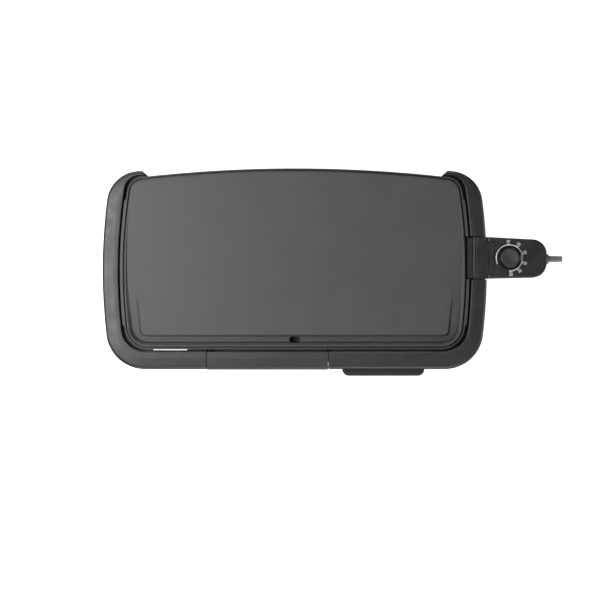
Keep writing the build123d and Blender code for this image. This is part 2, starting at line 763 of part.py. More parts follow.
with BuildPart() as lever_pin:
    with BuildSketch(Plane.XZ.offset(-guard_y - guard_half + 0.6)):
        with Locations((pivot_x, pivot_z)):
            Circle(lever_pin_radius)
    extrude(amount=2 * guard_half - 1.2)
save(lever_pin, "lever_pin")

with BuildPart() as lever_spring:
    with BuildLine():
        coil = Helix(pitch=1.1, height=spring_length, radius=spring_radius,
                     center=(pivot_x, guard_y - spring_length / 2, pivot_z), direction=(0, 1, 0))
    with BuildSketch(Plane(origin=coil @ 0, z_dir=coil % 0)):
        Circle(spring_wire)
    sweep(path=coil, is_frenet=True)
save(lever_spring, "lever_spring")


# ---------------------------------------------------------------- heat probe
def housing_face(inset, height):
    """Level outline of the probe: straight sides that close in a little, and a full round end."""
    root_front = guard_y - 31.3
    root_back = guard_y + 31.2
    end_front = -11.2
    end_back = 45.2
    shoulder = housing_end - 3.0
    with BuildSketch(Plane.XY.offset(height)) as outline:
        with BuildLine():
            Line((housing_left, root_back), (housing_left, root_front))
            Line((housing_left, root_front), (shoulder, end_front))
            ThreePointArc((shoulder, end_front), (housing_end, (end_front + end_back) / 2),
                          (shoulder, end_back))
            Line((shoulder, end_back), (housing_left, root_back))
        make_face()
        fillet(outline.vertices().group_by(Axis.X)[0], 1.5)
        fillet(outline.vertices().sort_by(Axis.X)[-2:], 22)
        if inset:
            offset(amount=-inset)
    return outline.sketch


nose_left = 265.6
nose_half = 28.6
nose_bottom = 41.3
nose_top = 60.0
recess_floor = 65.4
housing_posts = [(345.0, -5.2), (345.0, 40.0), (302.5, -8.0), (302.5, 44.4)]

with BuildPart() as probe_housing_top:
    extrude(to_extrude=housing_face(0, housing_split), amount=housing_top - housing_split)
    fillet(probe_housing_top.faces().sort_by(Axis.Z)[-1].edges(), 2.4)
    extrude(to_extrude=housing_face(housing_wall, housing_split - 0.01), amount=8.2, mode=Mode.SUBTRACT)
    with BuildSketch(Plane.XY.offset(housing_split)):
        with Locations(((304.0 + 372.0) / 2, probe_y)):
            RectangleRounded(68, 48, 12)
    extrude(amount=housing_top - 2.4 - housing_split, mode=Mode.SUBTRACT)
    # open recess for the lever's tongue, and the slot that the terminal block enters by
    slab(housing_left - 2, tongue_end + 0.7, probe_y - tongue_half - 1.3, probe_y + tongue_half + 1.3,
         recess_floor, sky, mode=Mode.SUBTRACT)
    slab(housing_left - 2, housing_left + 6, guard_y - nose_half - 0.1, guard_y + nose_half + 0.1,
         0, nose_top + 0.1, mode=Mode.SUBTRACT)
    # collar round the knob's shaft
    with Locations((knob_x, probe_y, housing_top - 5)):
        Cylinder(6.5, 5.2, align=(Align.CENTER, Align.CENTER, Align.MIN))
        Cylinder(shaft_radius + running_gap, 20, mode=Mode.SUBTRACT)
    # half of the seat for the strain relief
    with BuildSketch(Plane.YZ.offset(housing_end - 12)):
        with Locations((boot_y, boot_z)):
            Circle(4.05)
    extrude(amount=20, mode=Mode.SUBTRACT)
    # screw posts
    with Locations(*[(x, y, housing_split) for x, y in housing_posts]):
        Cylinder(3.4, 9.5, align=(Align.CENTER, Align.CENTER, Align.MIN))
        Cylinder(1.5, 16, mode=Mode.SUBTRACT)
save(probe_housing_top, "probe_housing_top")

with BuildPart() as probe_housing_bottom:
    extrude(to_extrude=housing_face(0, housing_bottom), amount=housing_split - 0.15 - housing_bottom)
    fillet(probe_housing_bottom.faces().sort_by(Axis.Z)[0].edges(), 2.4)
    extrude(to_extrude=housing_face(housing_wall, housing_bottom + 2.4), amount=20, mode=Mode.SUBTRACT)
    slab(housing_left - 2, housing_left + 8.2, guard_y - nose_half - 0.1, guard_y + nose_half + 0.1,
         nose_bottom - 0.1, 70, mode=Mode.SUBTRACT)
    with BuildSketch(Plane.YZ.offset(housing_end - 12)):
        with Locations((boot_y, boot_z)):
            Circle(4.05)
    extrude(amount=20, mode=Mode.SUBTRACT)
    slab(310, 335, probe_y - 8, probe_y + 8, housing_bottom + 2, 45.45)
    with Locations(*[(x, y, housing_bottom) for x, y in housing_posts]):
        Cylinder(4.4, housing_split - 0.15 - housing_bottom, align=(Align.CENTER, Align.CENTER, Align.MIN))
        Cylinder(2.9, 12, mode=Mode.SUBTRACT)
        Cylinder(1.6, 60, mode=Mode.SUBTRACT)
save(probe_housing_bottom, "probe_housing_bottom")

with BuildPart() as housing_screws:
    for x, y in housing_posts:
        with Locations((x, y, housing_bottom + 5.8)):
            Cylinder(1.45, 15.2, align=(Align.CENTER, Align.CENTER, Align.MIN))
        with Locations((x, y, housing_bottom + 3.4)):
            Cylinder(2.7, 2.6, align=(Align.CENTER, Align.CENTER, Align.MIN))
            Box(0.8, 4.2, 2.2, mode=Mode.SUBTRACT)
            Box(4.2, 0.8, 2.2, mode=Mode.SUBTRACT)
save(housing_screws, "housing_screws")

with BuildPart() as terminal_block:
    slab(nose_left, housing_left + 8, guard_y - nose_half, guard_y + nose_half, nose_bottom, nose_top)
    fillet(terminal_block.edges().filter_by(Axis.X), 2.5)
    chamfer(terminal_block.faces().sort_by(Axis.X)[0].edges(), 1.2)
    with BuildSketch(Plane.YZ.offset(nose_left - 1)):
        with Locations(*[(y, element_z) for y in pin_ys]):
            Circle(4.6)
        with Locations((probe_y, element_z)):
            Circle(rod_radius + 0.05)
        with Locations((guard_y - guard_screw, element_z), (guard_y + guard_screw, element_z)):
            Circle(4.6)
    extrude(amount=60, mode=Mode.SUBTRACT)
save(terminal_block, "terminal_block")

with BuildPart() as female_terminals:
    for y in pin_ys:
        with BuildSketch(Plane.YZ.offset(nose_left + 1.5)):
            with Locations((y, element_z)):
                Circle(4.4)
                Circle(pin_radius + 0.15, mode=Mode.SUBTRACT)
                # the sleeve is split along its length so that it grips the pin
                with Locations((0, 3.5)):
                    Rectangle(1.2, 3.4, mode=Mode.SUBTRACT)
        extrude(amount=30)
save(female_terminals, "female_terminals")

with BuildPart() as sensing_rod:
    with BuildSketch(Plane.YZ.offset(238.5)):
        with Locations((probe_y, element_z)):
            Circle(rod_radius)
    extrude(amount=68)
    fillet(sensing_rod.edges().filter_by(GeomType.CIRCLE).group_by(Axis.X)[0], 2.5)
save(sensing_rod, "sensing_rod")

frame_left = 303.0
frame_right = 342.0
with BuildPart() as thermostat_frame:
    slab(frame_left, frame_right, probe_y - 11, probe_y + 11, 45.5, 62.5)
    slab(frame_left + 1.6, frame_right + 1, probe_y - 12, probe_y + 12, 47.1, 60.9, mode=Mode.SUBTRACT)
    with BuildSketch(Plane.YZ.offset(frame_left - 1)):
        with Locations((probe_y, element_z)):
            Circle(4.0)
    extrude(amount=3, mode=Mode.SUBTRACT)
    with Locations((knob_x, probe_y, 62)):
        Cylinder(shaft_radius + running_gap, 6, mode=Mode.SUBTRACT)
save(thermostat_frame, "thermostat_frame")

with BuildPart() as bimetal_blade:
    slab(307.2, 338, probe_y - 9, probe_y + 3, 52.0, 52.7)
    slab(336, 338, probe_y - 3, probe_y + 3, 47.15, 52.4)
save(bimetal_blade, "bimetal_blade")

with BuildPart() as contact_blade:
    slab(309, 337, probe_y - 9.5, probe_y - 4, 49.6, 50.2)
    slab(335.4, 337, probe_y - 9.5, probe_y - 4, 47.15, 49.9)
    with Locations((313, probe_y - 6.7, 50.1)):
        Cylinder(1.8, 1.1, align=(Align.CENTER, Align.CENTER, Align.MIN))
save(contact_blade, "contact_blade")

with BuildPart() as knob_shaft:
    with Locations((knob_x, probe_y, 55.5)):
        Cylinder(shaft_radius, knob_bottom + 6 - 55.5, align=(Align.CENTER, Align.CENTER, Align.MIN))
        Cylinder(1.6, 2.4, align=(Align.CENTER, Align.CENTER, Align.MAX))
    # circlip below the thermostat frame
    with Locations((knob_x, probe_y, 59.6)):
        Cylinder(5.2, 0.8, align=(Align.CENTER, Align.CENTER, Align.MIN))
save(knob_shaft, "knob_shaft")

with BuildPart() as control_knob:
    with Locations((knob_x, probe_y, knob_bottom)):
        Cylinder(17.3, 2.2, align=(Align.CENTER, Align.CENTER, Align.MIN))
        Cone(knob_foot_radius, knob_radius, knob_top - knob_bottom,
             align=(Align.CENTER, Align.CENTER, Align.MIN))
    fillet(control_knob.edges().filter_by(GeomType.CIRCLE).group_by(Axis.Z)[-1], 1.4)
    # pointer tab on the skirt
    with BuildSketch(Plane.XY.offset(knob_bottom)):
        with Locations((knob_x + 16.4, probe_y)):
            RectangleRounded(7.6, 9.6, 2.8)
    extrude(amount=2.2)
    # shallow dish in the top
    with BuildSketch(Plane(origin=(knob_x, probe_y, 0), x_dir=(1, 0, 0), z_dir=(0, -1, 0))):
        with BuildLine():
            ThreePointArc((0, knob_top - 1.2), (5.6, knob_top - 0.9), (11.2, knob_top + 0.01))
            Line((11.2, knob_top + 0.01), (0, knob_top + 0.01))
            Line((0, knob_top + 0.01), (0, knob_top - 1.2))
        make_face()
    revolve(axis=Axis((knob_x, probe_y, 0), (0, 0, 1)), mode=Mode.SUBTRACT)
    # blind bore for the shaft
    with Locations((knob_x, probe_y, knob_bottom)):
        Cylinder(shaft_radius + 0.02, 12.2, mode=Mode.SUBTRACT)
save(control_knob, "control_knob")

with BuildPart() as strain_relief:
    wall_end = housing_end
    with BuildSketch(Plane(origin=(0, boot_y, boot_z), x_dir=(1, 0, 0), z_dir=(0, -1, 0))):
        with BuildLine():
            Polyline(
                (wall_end - 5.8, 3.1),
                (wall_end - 5.8, 6.4),
                (wall_end - 3.0, 6.4),
                (wall_end - 3.0, 3.98),
                (wall_end + 0.4, 3.98),
                (wall_end + 0.4, 7.4),
                (wall_end + 3.4, 7.4),
                (wall_end + 4.4, 4.8),
                (boot_end, 4.2),
                (boot_end, 3.1),
                close=True,
            )
        make_face()
    revolve(axis=Axis((0, boot_y, boot_z), (1, 0, 0)))
    fillet(strain_relief.edges().filter_by(GeomType.CIRCLE).group_by(Axis.X)[-1], 0.3)
    # flexing slots cut from alternate sides
    for index in range(3):
        with Locations((wall_end + 9 + 5 * index, boot_y, boot_z + (4.2 if index % 2 else -4.2))):
            Box(1.2, 20, 1.7, mode=Mode.SUBTRACT)
save(strain_relief, "strain_relief")

with BuildPart() as internal_leads:
    for y, target, bend in ((pin_ys[0], boot_y - 1.6, 2.5), (pin_ys[1], boot_y + 1.6, 33.5)):
        with BuildLine() as lead:
            FilletPolyline(
                (nose_left + 31.6, y, element_z),
                (301.5, y, element_z),
                (308, bend, 50.0),
                (350, bend, 50.0),
                (364, target, boot_z),
                (wall_end - 6.2, target, boot_z),
                radius=4,
            )
        with BuildSketch(Plane(origin=lead.line @ 0, z_dir=lead.line % 0)):
            Circle(1.2)
        sweep(path=lead.line)
save(internal_leads, "internal_leads")
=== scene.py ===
import bpy
import bmesh
import math
import mathutils
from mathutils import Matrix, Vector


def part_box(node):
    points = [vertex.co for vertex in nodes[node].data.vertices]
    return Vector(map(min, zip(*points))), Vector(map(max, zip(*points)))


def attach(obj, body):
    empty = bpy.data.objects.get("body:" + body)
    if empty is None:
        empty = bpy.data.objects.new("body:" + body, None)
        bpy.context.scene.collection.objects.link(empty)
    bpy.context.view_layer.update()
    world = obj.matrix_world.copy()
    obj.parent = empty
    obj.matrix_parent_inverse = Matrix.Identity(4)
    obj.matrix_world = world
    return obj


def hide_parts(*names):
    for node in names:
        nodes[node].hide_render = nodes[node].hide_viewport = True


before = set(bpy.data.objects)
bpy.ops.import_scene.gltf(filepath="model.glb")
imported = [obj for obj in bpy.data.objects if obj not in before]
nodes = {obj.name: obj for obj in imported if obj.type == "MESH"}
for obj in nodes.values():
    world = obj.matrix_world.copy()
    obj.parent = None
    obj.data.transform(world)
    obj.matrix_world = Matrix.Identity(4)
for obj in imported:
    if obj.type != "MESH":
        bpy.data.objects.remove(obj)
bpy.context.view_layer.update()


# ------------------------------------------------------------------ base frame
# The base is one black injection moulding: a hollow rim on a skirt, open at the back. Its mould is
# spark-eroded, so the skin has a fine matt grain, and the edges are rubbed smoother by handling.
def add_node(tree, kind, inputs=(), **settings):
    """A shader or geometry node with its settings, its input values and the links into it."""
    node = tree.nodes.new(kind)
    for name, value in settings.items():
        setattr(node, name, value)
    for name, value in dict(inputs).items():
        if isinstance(value, bpy.types.NodeSocket):
            tree.links.new(value, node.inputs[name])
        else:
            node.inputs[name].default_value = value
    return node


def noise(tree, place, scale, detail=3.0, stretch=(1, 1, 1)):
    """Noise of that many cells a metre on object coordinates, from about 0.3 to 0.7."""
    mapping = add_node(tree, "ShaderNodeMapping", {"Vector": place, "Scale": stretch})
    source = mapping.outputs["Vector"]
    texture = add_node(tree, "ShaderNodeTexNoise", {"Vector": source, "Scale": scale, "Detail": detail})
    return texture.outputs["Fac"]


def ramp(tree, value, low, high, to_low, to_high):
    """value between low and high becomes to_low to to_high, clamped."""
    inputs = {"Value": value, "From Min": low, "From Max": high, "To Min": to_low, "To Max": to_high}
    return add_node(tree, "ShaderNodeMapRange", inputs).outputs["Result"]


def between(tree, share, first, second):
    """Mix of two colours, or of two colour sockets, by share."""
    mix = add_node(tree, "ShaderNodeMix", data_type="RGBA")
    for index, value in ((0, share), (6, first), (7, second)):
        if isinstance(value, bpy.types.NodeSocket):
            tree.links.new(value, mix.inputs[index])
        else:
            mix.inputs[index].default_value = value
    return mix.outputs[2]


def grey(value, warmth=0.0):
    return (value * (1 + warmth), value, value * (1 - warmth), 1)


def new_material(name):
    """A node material: its tree, its shader and its object coordinates."""
    material = bpy.data.materials.new(name)
    material.use_nodes = True
    tree = material.node_tree
    place = add_node(tree, "ShaderNodeTexCoord").outputs["Object"]
    return material, tree, tree.nodes["Principled BSDF"], place


def rounded_edges(tree, radius):
    """The normal with its edges rounded, and a mask that is 1 on those edges."""
    round_normal = add_node(tree, "ShaderNodeBevel", {"Radius": radius}, samples=4).outputs["Normal"]
    true_normal = add_node(tree, "ShaderNodeNewGeometry").outputs["Normal"]
    facing = add_node(tree, "ShaderNodeVectorMath", operation="DOT_PRODUCT")
    tree.links.new(round_normal, facing.inputs[0])
    tree.links.new(true_normal, facing.inputs[1])
    return round_normal, ramp(tree, facing.outputs["Value"], 0.97, 0.80, 0, 1)


def crease_shade_mask(tree, reach):
    """A mask for painted shade: 1 on open surfaces and 0 in creases and gaps narrower than reach."""
    shelter = add_node(tree, "ShaderNodeAmbientOcclusion", {"Distance": reach}, samples=6)
    return ramp(tree, shelter.outputs["AO"], 0.38, 0.82, 0, 1)


def flank_shade_mask(tree, low, high):
    """A mask for painted shade: 1 on level surfaces and 0 on steep flanks, which are coloured darker."""
    upward = add_node(tree, "ShaderNodeSeparateXYZ")
    tree.links.new(add_node(tree, "ShaderNodeTexCoord").outputs["Normal"], upward.inputs["Vector"])
    return ramp(tree, upward.outputs["Z"], low, high, 0, 1)


def moulded(name, tone, grain, relief, gloss, edge=0.0006, reach=0.012, rub_and_highlight=0.35):
    """Moulded black plastic: spark-eroded grain, mottled sheen, dust in the grain, rubbed edges with a
    painted highlight, painted shade on flanks and in creases.
    """
    material, tree, shader, place = new_material(name)
    round_normal, on_edge = rounded_edges(tree, edge)
    pits = noise(tree, place, 1 / grain, 5.0)
    flow = noise(tree, place, 14, 2.0, (0.5, 1.4, 1))
    smears = noise(tree, place, 55, 4.0)
    skin = between(tree, ramp(tree, flow, 0.35, 0.65, 0, 1), grey(tone * 0.9), grey(tone * 1.1, 0.01))
    dusty = between(tree, ramp(tree, pits, 0.52, 0.68, 0, 0.3), skin, grey(tone * 2.2, 0.02))
    # painted shade: steep flanks are coloured darker than level skin
    flank_shaded = between(tree, flank_shade_mask(tree, 0.50, 0.93), grey(tone * 0.7), dusty)
    # edges are coloured lighter: partly rubbed wear, partly a painted highlight
    worn_and_highlit = between(tree, ramp(tree, on_edge, 0, 1, 0, rub_and_highlight), flank_shaded, grey(tone * 4))
    # painted shade: creases and the gaps between parts are coloured near black
    crease_shaded = between(tree, crease_shade_mask(tree, reach), grey(tone * 0.15), worn_and_highlit)
    tree.links.new(crease_shaded, shader.inputs["Base Color"])
    sheen = ramp(tree, smears, 0.35, 0.65, gloss - 0.05, gloss + 0.05)
    polish = add_node(tree, "ShaderNodeMath", {0: sheen}, operation="SUBTRACT")
    tree.links.new(ramp(tree, on_edge, 0, 1, 0, 0.10), polish.inputs[1])
    tree.links.new(polish.outputs["Value"], shader.inputs["Roughness"])
    bump = add_node(tree, "ShaderNodeBump", {"Height": pits, "Normal": round_normal, "Strength": 0.6,
                                             "Distance": relief})
    tree.links.new(bump.outputs["Normal"], shader.inputs["Normal"])
    return material


def finish(name, material):
    """Gives a CAD node its material in every slot."""
    for place in nodes[name].material_slots:
        place.material = material


finish("base_frame", moulded("black_plastic", 0.011, 0.0007, 0.00006, 0.46, edge=0.0009, reach=0.025))

# ------------------------------------------------------------------ feet
# Four rubber feet, turned pads of soft black rubber with a sunk screw in each. They pick up dust
# from the table, so their lower edge is greyer and duller.
rubber, tree, shader, place = new_material("rubber")
height = add_node(tree, "ShaderNodeSeparateXYZ", {"Vector": place}).outputs["Z"]
foot_dust = ramp(tree, height, 0.0, 0.0035, 0.6, 0.0)
speckle = noise(tree, place, 900, 6.0)
scuffed = add_node(tree, "ShaderNodeMath", {0: foot_dust, 1: speckle}, operation="MULTIPLY").outputs["Value"]
tree.links.new(between(tree, scuffed, grey(0.018), grey(0.10, 0.04)), shader.inputs["Base Color"])
tree.links.new(ramp(tree, speckle, 0.3, 0.7, 0.72, 0.90), shader.inputs["Roughness"])
foot_bump = add_node(tree, "ShaderNodeBump", {"Height": speckle, "Strength": 0.5, "Distance": 0.00008})
tree.links.new(foot_bump.outputs["Normal"], shader.inputs["Normal"])
finish("rubber_feet", rubber)


# ------------------------------------------------------------------ screws
# Zinc-plated pan-head self-tapping screws with a cross recess. One set holds the feet, others the
# reflector, the runners, the terminal guard and the two halves of the heat probe.
def rolled_metal(name, colour, gloss, streak=(1, 1, 1), relief=0.00003, tarnish=0.25, metal=1.0):
    """Bare or plated metal: fine streaks one way, cloudy tarnish, bright rubbed edges."""
    material, tree, shader, place = new_material(name)
    round_normal, on_edge = rounded_edges(tree, 0.0003)
    lines = noise(tree, place, 1100, 5.0, streak)
    clouds = noise(tree, place, 38, 4.0)
    dull = tuple(part * 0.55 for part in colour) + (1,)
    bright = tuple(min(1, part * 1.15) for part in colour) + (1,)
    cloudy = between(tree, ramp(tree, clouds, 0.42, 0.62, 0, tarnish), tuple(colour) + (1,), dull)
    edged = between(tree, ramp(tree, on_edge, 0, 1, 0, 0.5), cloudy, bright)
    tree.links.new(edged, shader.inputs["Base Color"])
    tree.links.new(ramp(tree, lines, 0.3, 0.7, gloss - 0.08, gloss + 0.10), shader.inputs["Roughness"])
    shader.inputs["Metallic"].default_value = metal
    bump = add_node(tree, "ShaderNodeBump", {"Height": lines, "Normal": round_normal, "Strength": 0.5,
                                             "Distance": relief})
    tree.links.new(bump.outputs["Normal"], shader.inputs["Normal"])
    return material


def lumps(name):
    """Boxes of a CAD node's separate solids, found by how far apart their corners are."""
    groups = []
    for corner in (vertex.co.copy() for vertex in nodes[name].data.vertices):
        for low, high in groups:
            if all(low[i] - 0.009 < corner[i] < high[i] + 0.009 for i in range(3)):
                for i in range(3):
                    low[i] = min(low[i], corner[i])
                    high[i] = max(high[i], corner[i])
                break
        else:
            groups.append((corner.copy(), corner.copy()))
    return groups


def plain_mesh(name, made):
    """A plain object made from an evaluated one, whose modifier and helper mesh then go."""
    bpy.context.view_layer.update()
    result = bpy.data.meshes.new_from_object(made.evaluated_get(bpy.context.evaluated_depsgraph_get()))
    bpy.data.objects.remove(made)
    piece = bpy.data.objects.new(name, result)
    bpy.context.scene.collection.objects.link(piece)
    return piece


def tree_object(name, group, points, normals, settings):
    """An object whose points, each with an aim, go through a geometry node tree with these inputs."""
    mesh = bpy.data.meshes.new(name + "_points")
    mesh.from_pydata(points, [], [])
    aim = mesh.attributes.new("aim", "FLOAT_VECTOR", "POINT")
    for index, way in enumerate(normals):
        aim.data[index].vector = way
    holder = bpy.data.objects.new(name + "_holder", mesh)
    modifier = holder.modifiers.new("make", "NODES")
    modifier.node_group = group
    for item in group.interface.items_tree:
        if item.item_type == "SOCKET" and item.in_out == "INPUT" and item.name in settings:
            modifier[item.identifier] = settings[item.name]
    bpy.context.scene.collection.objects.link(holder)
    return holder


def new_group(name, sizes):
    """A geometry node group with a geometry input, named sizes in metres and a geometry output."""
    group = bpy.data.node_groups.new(name, "GeometryNodeTree")
    group.interface.new_socket("Geometry", in_out="INPUT", socket_type="NodeSocketGeometry")
    for label, size in sizes.items():
        socket = group.interface.new_socket(label, in_out="INPUT", socket_type="NodeSocketFloat")
        socket.default_value = size
    group.interface.new_socket("Material", in_out="INPUT", socket_type="NodeSocketMaterial")
    group.interface.new_socket("Geometry", in_out="OUTPUT", socket_type="NodeSocketGeometry")
    return group, group.nodes.new("NodeGroupInput"), group.nodes.new("NodeGroupOutput")


def maths(group, operation, first, second):
    return add_node(group, "ShaderNodeMath", {0: first, 1: second}, operation=operation).outputs["Value"]


def shifted(group, geometry, height):
    offset = add_node(group, "ShaderNodeCombineXYZ", {"Z": height}).outputs["Vector"]
    moved = add_node(group, "GeometryNodeTransform", {"Geometry": geometry, "Translation": offset})
    return moved.outputs["Geometry"]


screw_group, given, made = new_group("pan_screw", {"Head Radius": 0.0039, "Head Height": 0.0019,
                                                   "Shank Radius": 0.00195, "Shank Length": 0.01,
                                                   "Recess": 0.0022})
head_radius, head_height = given.outputs["Head Radius"], given.outputs["Head Height"]
# the head from its seat (height 0) up: a short rim, a rounded shoulder and a low crown
layers = []
profile = [(0.00, 0.96), (0.12, 1.0), (0.45, 0.97), (0.74, 0.86), (0.92, 0.66), (1.0, 0.42)]
for (low, wide), (high, narrow) in zip(profile, profile[1:]):
    band = add_node(screw_group, "GeometryNodeMeshCone", {
        "Vertices": 32,
        "Radius Bottom": maths(screw_group, "MULTIPLY", head_radius, wide),
        "Radius Top": maths(screw_group, "MULTIPLY", head_radius, narrow),
        "Depth": maths(screw_group, "MULTIPLY", head_height, high - low)})
    seat = maths(screw_group, "MULTIPLY", head_height, low)
    layers.append(shifted(screw_group, band.outputs["Mesh"], seat))
stack = add_node(screw_group, "GeometryNodeJoinGeometry")
for layer in reversed(layers):
    screw_group.links.new(layer, stack.inputs["Geometry"])
slot_size = add_node(screw_group, "ShaderNodeCombineXYZ", {
    "X": maths(screw_group, "MULTIPLY", given.outputs["Recess"], 2.0),
    "Y": maths(screw_group, "MULTIPLY", given.outputs["Recess"], 0.34),
    "Z": maths(screw_group, "MULTIPLY", head_height, 1.1)})
slot_box = add_node(screw_group, "GeometryNodeMeshCube", {"Size": slot_size.outputs["Vector"]})
slot_up = shifted(screw_group, slot_box.outputs["Mesh"], maths(screw_group, "MULTIPLY", head_height, 1.0))
slot_turned = add_node(screw_group, "GeometryNodeTransform", {
    "Geometry": slot_up, "Rotation": (0, 0, math.pi / 2)})
carved = add_node(screw_group, "GeometryNodeMeshBoolean", operation="DIFFERENCE")
screw_group.links.new(stack.outputs["Geometry"], carved.inputs["Mesh 1"])
screw_group.links.new(slot_turned.outputs["Geometry"], carved.inputs["Mesh 2"])
screw_group.links.new(slot_up, carved.inputs["Mesh 2"])
shank = add_node(screw_group, "GeometryNodeMeshCone", {
    "Vertices": 20,
    "Radius Bottom": maths(screw_group, "MULTIPLY", given.outputs["Shank Radius"], 0.55),
    "Radius Top": given.outputs["Shank Radius"],
    "Depth": given.outputs["Shank Length"]})
shank_down = shifted(screw_group, shank.outputs["Mesh"],
                     maths(screw_group, "MULTIPLY", given.outputs["Shank Length"], -1.0))
whole = add_node(screw_group, "GeometryNodeJoinGeometry")
screw_group.links.new(carved.outputs["Mesh"], whole.inputs["Geometry"])
screw_group.links.new(shank_down, whole.inputs["Geometry"])
aim = add_node(screw_group, "GeometryNodeInputNamedAttribute", {"Name": "aim"}, data_type="FLOAT_VECTOR")
turn = add_node(screw_group, "FunctionNodeAlignRotationToVector", {"Vector": aim.outputs["Attribute"]},
                axis="Z")
as_points = add_node(screw_group, "GeometryNodeMeshToPoints", {"Mesh": given.outputs["Geometry"]})
copies = add_node(screw_group, "GeometryNodeInstanceOnPoints", {
    "Points": as_points.outputs["Points"], "Instance": whole.outputs["Geometry"],
    "Rotation": turn.outputs["Rotation"]})
real = add_node(screw_group, "GeometryNodeRealizeInstances", {"Geometry": copies.outputs["Instances"]})
painted = add_node(screw_group, "GeometryNodeSetMaterial", {
    "Geometry": real.outputs["Geometry"], "Material": given.outputs["Material"]})
screw_group.links.new(painted.outputs["Geometry"], made.inputs["Geometry"])

zinc = rolled_metal("zinc_steel", (0.55, 0.55, 0.54), 0.34, tarnish=0.4)


def screws(name, body, aims, head_height=0.0019, head_radius=0.0039, shank_radius=0.0019, recess=0.0021):
    """Cross-recess screws where a CAD node's plain ones are, each with the way its head faces."""
    seats = []
    boxes = lumps(name)
    for (low, high), way in zip(boxes, aims(boxes)):
        middle = (low + high) / 2
        axis = max(range(3), key=lambda i: abs(way[i]))
        end = high[axis] if way[axis] > 0 else low[axis]
        middle[axis] = end - way[axis] * head_height
        seats.append(middle)
    length = min(max(high[i] - low[i] for i in range(3)) for low, high in boxes) - head_height
    sizes = {"Head Radius": head_radius, "Head Height": head_height, "Shank Radius": shank_radius,
             "Shank Length": max(0.004, length), "Recess": recess, "Material": zinc}
    piece = plain_mesh(name + "_cross", tree_object(name, screw_group, seats, aims(boxes), sizes))
    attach(piece, body)
    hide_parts(name)


def facing(way):
    return lambda boxes: [way] * len(boxes)


screws("foot_screws", "base", facing((0, 0, -1)))
screws("reflector_screws", "base", facing((0, 0, -1)))
screws("runner_screws", "base",
       lambda boxes: [(0, 1, 0) if low.y > 0 else (0, 0, -1) for low, high in boxes])
screws("guard_screws", "plate", facing((1, 0, 0)))
screws("housing_screws", "probe", facing((0, 0, -1)), head_height=0.0024, head_radius=0.0027,
       shank_radius=0.00145, recess=0.0016)

# ------------------------------------------------------------------ heat reflector
# A pressed tray of bright aluminised sheet under the plate, screwed to the base's ledge by four
# ears. It has rolling streaks along its length and cloudy tarnish.
reflector = rolled_metal("reflector_steel", (0.62, 0.61, 0.59), 0.30, streak=(0.04, 1, 1), tarnish=0.35)
finish("heat_reflector", reflector)

# ------------------------------------------------------------------ tray runners
# Two bent channels of zinc-plated sheet that the warming tray's flanges slide in, rubbed bright
# along their length by the tray.
runner_zinc = rolled_metal("runner_zinc", (0.52, 0.52, 0.51), 0.36, streak=(1, 0.03, 1), tarnish=0.3)
finish("tray_runner_left", runner_zinc)
finish("tray_runner_right", runner_zinc)

# ------------------------------------------------------------------ warming tray and drip tray
# Both trays are moulded in the base's plastic from newer tools, so their grain is a little finer
# and glossier. The drip tray's front is a piece of the rim, and the warming tray has a rounded grip.
tray_plastic = moulded("tray_plastic", 0.015, 0.0005, 0.00004, 0.45)
finish("warming_tray", tray_plastic)
finish("drip_tray", tray_plastic)

# ------------------------------------------------------------------ griddle plate
# Cast aluminium with a sprayed, dark grey non-stick coat: a soft pebble with faint lighter flecks,
# fine scour marks on the cooking surface, and bare grey metal underneath round the element's rib.
nonstick, tree, shader, place = new_material("nonstick")
round_normal, on_edge = rounded_edges(tree, 0.0006)
split = add_node(tree, "ShaderNodeSeparateXYZ", {"Vector": place})
pebble = noise(tree, place, 1500, 4.0)
spray = noise(tree, place, 22, 5.0)
fleck_cells = add_node(tree, "ShaderNodeTexVoronoi", {"Vector": place, "Scale": 420.0})
flecks = ramp(tree, fleck_cells.outputs["Distance"], 0.10, 0.02, 0, 0.35)
scour_a = ramp(tree, noise(tree, place, 60, 6.0, (0.12, 9, 1)), 0.66, 0.72, 0, 0.5)
scour_b = ramp(tree, noise(tree, place, 60, 6.0, (7, 0.2, 1)), 0.67, 0.73, 0, 0.4)
scour = maths(tree, "MAXIMUM", scour_a, scour_b)
coat = between(tree, ramp(tree, spray, 0.35, 0.65, 0, 1), grey(0.047), grey(0.051, 0.006))
flecked = between(tree, flecks, coat, grey(0.10, 0.01))
scoured = between(tree, ramp(tree, scour, 0, 1, 0, 0.12), flecked, grey(0.13))
# painted shade: the plate's sloped walls are coloured near black
slope_shaded = between(tree, flank_shade_mask(tree, 0.80, 0.985), grey(0.014), scoured)
# painted highlight: the plate's edges are coloured lighter
edged = between(tree, ramp(tree, on_edge, 0, 1, 0, 0.4), slope_shaded, grey(0.13))
# painted shade: a dark line in the corner of the step round the drain channel, whose sides flare to the back
plate_low, plate_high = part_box("griddle_plate")
step_y = plate_low[1] + 0.0206
step_x = plate_high[0] - 0.0305
step_flare = 0.096
step_corner = 0.012
ahead = maths(tree, "SUBTRACT", step_y, split.outputs["Y"])
flare = add_node(tree, "ShaderNodeMath", {0: ahead, 1: step_flare, 2: -step_x}, operation="MULTIPLY_ADD")
beside = maths(tree, "ADD", maths(tree, "ABSOLUTE", split.outputs["X"], 0), flare.outputs["Value"])
off_step = add_node(tree, "ShaderNodeMath", {0: ahead, 1: beside, 2: step_corner}, operation="SMOOTH_MAX")
near_step = ramp(tree, maths(tree, "ABSOLUTE", off_step.outputs["Value"], 0), 0.0006, 0.0015, 0.75, 0)
channel_only = ramp(tree, split.outputs["Y"], -0.055, -0.035, 1, 0)
step_shaded = between(tree, maths(tree, "MULTIPLY", near_step, channel_only), edged, grey(0.005))
